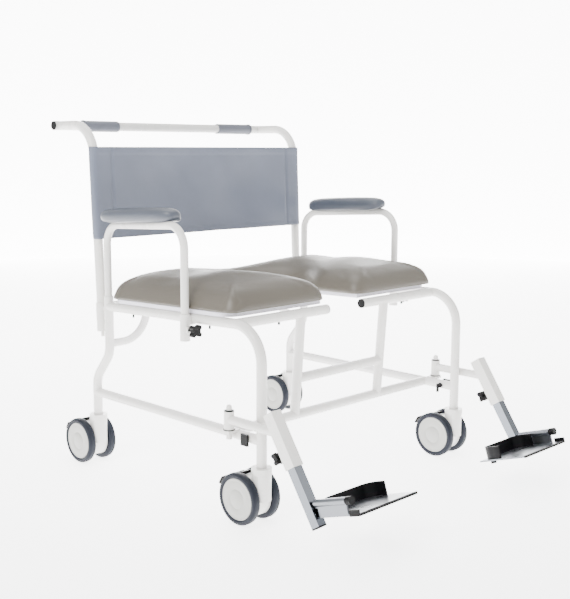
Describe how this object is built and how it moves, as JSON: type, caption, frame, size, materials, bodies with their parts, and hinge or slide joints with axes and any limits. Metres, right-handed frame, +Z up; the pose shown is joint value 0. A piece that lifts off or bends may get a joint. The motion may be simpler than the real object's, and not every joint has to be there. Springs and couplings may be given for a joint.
{
  "type": "attendant-pushed shower commode wheelchair",
  "caption": "Wide attendant-pushed shower and commode wheelchair: white tube frame, padded horseshoe seat, sling back, lift-out armrests, swing-away footrests and braked twin-wheel castors.",
  "frame": {"origin": "on the floor, at the middle of the chair's length and width", "axes": "+Z up, +Y towards the attendant's push bar, +X towards the sitter's left"},
  "size_m": [0.8524, 1.1615, 0.948],
  "materials": {
    "white_paint": "white powder coat, satin",
    "black_plastic": "moulded black plastic",
    "chrome": "bright plated",
    "plate_metal": "bright aluminium, ribbed",
    "seat_board": "pale board",
    "seat_vinyl": "warm grey coated vinyl, satin",
    "arm_vinyl": "blue-grey coated vinyl",
    "grip_vinyl": "soft grip",
    "sling_cloth": "blue-grey coated cloth",
    "strap_web": "black webbing",
    "tyre_rubber": "dark blue-grey tread",
    "hub_plastic": "light grey moulding"
  },
  "bodies": {
    "frame": {"side_rails": "white_paint", "rear_legs": "white_paint", "lower_rails": "white_paint", "front_rails": "white_paint", "inner_posts": "white_paint", "cross_tubes": "white_paint", "rear_brace": "white_paint", "back_sleeves": "white_paint", "arm_sockets": "white_paint", "rail_plugs": "black_plastic", "rail_clips": "black_plastic", "castor_pins": "chrome", "hinge_pins": "white_paint", "hinge_washers": "black_plastic"},
    "seat": {"seat_board": "seat_board", "seat_cushion": "seat_vinyl"},
    "back": {"back_posts": "white_paint", "push_bar": "white_paint", "push_grips": "grip_vinyl", "bar_plugs": "black_plastic", "back_sling": "sling_cloth"},
    "armrest_r": {"arm_tube_r": "white_paint", "arm_pad_r": "arm_vinyl"},
    "arm_screw_r": {"arm_knob_r": "black_plastic"},
    "latch_r": {"latch_r": "black_plastic"},
    "swing_r": {"swing_arm_r": "white_paint"},
    "hanger_screw_r": {"hanger_knob_r": "black_plastic"},
    "leg_r": {"foot_leg_r": "chrome", "leg_plugs_r": "black_plastic"},
    "foot_r": {"footplate_r": "plate_metal", "plate_trim_r": "black_plastic", "heel_strap_r": "strap_web"},
    "armrest_l": {"arm_tube_l": "white_paint", "arm_pad_l": "arm_vinyl"},
    "arm_screw_l": {"arm_knob_l": "black_plastic"},
    "latch_l": {"latch_l": "black_plastic"},
    "swing_l": {"swing_arm_l": "white_paint"},
    "hanger_screw_l": {"hanger_knob_l": "black_plastic"},
    "leg_l": {"foot_leg_l": "chrome", "leg_plugs_l": "black_plastic"},
    "foot_l": {"footplate_l": "plate_metal", "plate_trim_l": "black_plastic", "heel_strap_l": "strap_web"},
    "castor_fr": {"castor_body_fr": "white_paint"},
    "wheels_fr": {"castor_tyres_fr": "tyre_rubber", "castor_hubs_fr": "hub_plastic"},
    "brake_fr": {"brake_pedal_fr": "black_plastic"},
    "castor_fl": {"castor_body_fl": "white_paint"},
    "wheels_fl": {"castor_tyres_fl": "tyre_rubber", "castor_hubs_fl": "hub_plastic"},
    "brake_fl": {"brake_pedal_fl": "black_plastic"},
    "castor_rr": {"castor_body_rr": "white_paint"},
    "wheels_rr": {"castor_tyres_rr": "tyre_rubber", "castor_hubs_rr": "hub_plastic"},
    "brake_rr": {"brake_pedal_rr": "black_plastic"},
    "castor_rl": {"castor_body_rl": "white_paint"},
    "wheels_rl": {"castor_tyres_rl": "tyre_rubber", "castor_hubs_rl": "hub_plastic"},
    "brake_rl": {"brake_pedal_rl": "black_plastic"}
  },
  "joints": [
    {"name": "seat_lift", "type": "slide", "parent": "frame", "child": "seat", "axis": [0, 0, 1], "range_m": [0, 0.06]},
    {"name": "back_lift", "type": "slide", "parent": "frame", "child": "back", "axis": [0, 0.0427, 0.9991], "range_m": [0, 0.1]},
    {"name": "arm_lift_r", "type": "slide", "parent": "frame", "child": "armrest_r", "axis": [0, 0, 1], "range_m": [0, 0.12]},
    {"name": "arm_knob_turn_r", "type": "hinge", "parent": "frame", "child": "arm_screw_r", "pos_m": [-0.401, -0.0191, 0.43676], "axis": [0, 1, 0], "range_deg": [-180, 180]},
    {"name": "latch_turn_r", "type": "hinge", "parent": "frame", "child": "latch_r", "pos_m": [-0.378, -0.2131, 0.2035], "axis": [1, 0, 0], "range_deg": [-30, 30]},
    {"name": "swing_out_r", "type": "hinge", "parent": "frame", "child": "swing_r", "pos_m": [-0.4024, -0.1671, 0.24], "axis": [0, 0, -1], "range_deg": [0, 95]},
    {"name": "hanger_knob_turn_r", "type": "hinge", "parent": "swing_r", "child": "hanger_screw_r", "pos_m": [-0.4024, -0.36281, 0.20626], "axis": [0, 0.8358, -0.549], "range_deg": [-180, 180]},
    {"name": "leg_slide_r", "type": "slide", "parent": "swing_r", "child": "leg_r", "axis": [0, -0.549, -0.8358], "range_m": [-0.03, 0.02]},
    {"name": "plate_flip_r", "type": "hinge", "parent": "leg_r", "child": "foot_r", "pos_m": [-0.4024, -0.4423, 0.11014], "axis": [0, -0.9511, 0.309], "range_deg": [0, 80]},
    {"name": "arm_lift_l", "type": "slide", "parent": "frame", "child": "armrest_l", "axis": [0, 0, 1], "range_m": [0, 0.12]},
    {"name": "arm_knob_turn_l", "type": "hinge", "parent": "frame", "child": "arm_screw_l", "pos_m": [0.401, -0.0191, 0.43676], "axis": [0, 1, 0], "range_deg": [-180, 180]},
    {"name": "latch_turn_l", "type": "hinge", "parent": "frame", "child": "latch_l", "pos_m": [0.378, -0.2131, 0.2035], "axis": [1, 0, 0], "range_deg": [-30, 30]},
    {"name": "swing_out_l", "type": "hinge", "parent": "frame", "child": "swing_l", "pos_m": [0.4024, -0.1671, 0.24], "axis": [0, 0, 1], "range_deg": [0, 95]},
    {"name": "hanger_knob_turn_l", "type": "hinge", "parent": "swing_l", "child": "hanger_screw_l", "pos_m": [0.4024, -0.36281, 0.20626], "axis": [0, 0.8358, -0.549], "range_deg": [-180, 180]},
    {"name": "leg_slide_l", "type": "slide", "parent": "swing_l", "child": "leg_l", "axis": [0, -0.549, -0.8358], "range_m": [-0.03, 0.02]},
    {"name": "plate_flip_l", "type": "hinge", "parent": "leg_l", "child": "foot_l", "pos_m": [0.4024, -0.45109, 0.09677], "axis": [0, 0.9511, -0.309], "range_deg": [0, 80]},
    {"name": "swivel_fr", "type": "hinge", "parent": "frame", "child": "castor_fr", "pos_m": [-0.378, -0.2521, 0.12], "axis": [0, 0, 1], "continuous": true},
    {"name": "roll_fr", "type": "hinge", "parent": "castor_fr", "child": "wheels_fr", "pos_m": [-0.378, -0.2111, 0.0625], "axis": [1, 0, 0], "continuous": true},
    {"name": "brake_fr", "type": "hinge", "parent": "castor_fr", "child": "brake_fr", "pos_m": [-0.378, -0.2111, 0.0625], "axis": [-1, 0, 0], "range_deg": [0, 8]},
    {"name": "swivel_fl", "type": "hinge", "parent": "frame", "child": "castor_fl", "pos_m": [0.378, -0.2521, 0.12], "axis": [0, 0, 1], "continuous": true},
    {"name": "roll_fl", "type": "hinge", "parent": "castor_fl", "child": "wheels_fl", "pos_m": [0.378, -0.2111, 0.0625], "axis": [1, 0, 0], "continuous": true},
    {"name": "brake_fl", "type": "hinge", "parent": "castor_fl", "child": "brake_fl", "pos_m": [0.378, -0.2111, 0.0625], "axis": [-1, 0, 0], "range_deg": [0, 8]},
    {"name": "swivel_rr", "type": "hinge", "parent": "frame", "child": "castor_rr", "pos_m": [-0.378, 0.4049, 0.12], "axis": [0, 0, 1], "continuous": true},
    {"name": "roll_rr", "type": "hinge", "parent": "castor_rr", "child": "wheels_rr", "pos_m": [-0.378, 0.4459, 0.0625], "axis": [1, 0, 0], "continuous": true},
    {"name": "brake_rr", "type": "hinge", "parent": "castor_rr", "child": "brake_rr", "pos_m": [-0.378, 0.4459, 0.0625], "axis": [-1, 0, 0], "range_deg": [0, 8]},
    {"name": "swivel_rl", "type": "hinge", "parent": "frame", "child": "castor_rl", "pos_m": [0.378, 0.4049, 0.12], "axis": [0, 0, 1], "continuous": true},
    {"name": "roll_rl", "type": "hinge", "parent": "castor_rl", "child": "wheels_rl", "pos_m": [0.378, 0.4459, 0.0625], "axis": [1, 0, 0], "continuous": true},
    {"name": "brake_rl", "type": "hinge", "parent": "castor_rl", "child": "brake_rl", "pos_m": [0.378, 0.4459, 0.0625], "axis": [-1, 0, 0], "range_deg": [0, 8]}
  ]
}
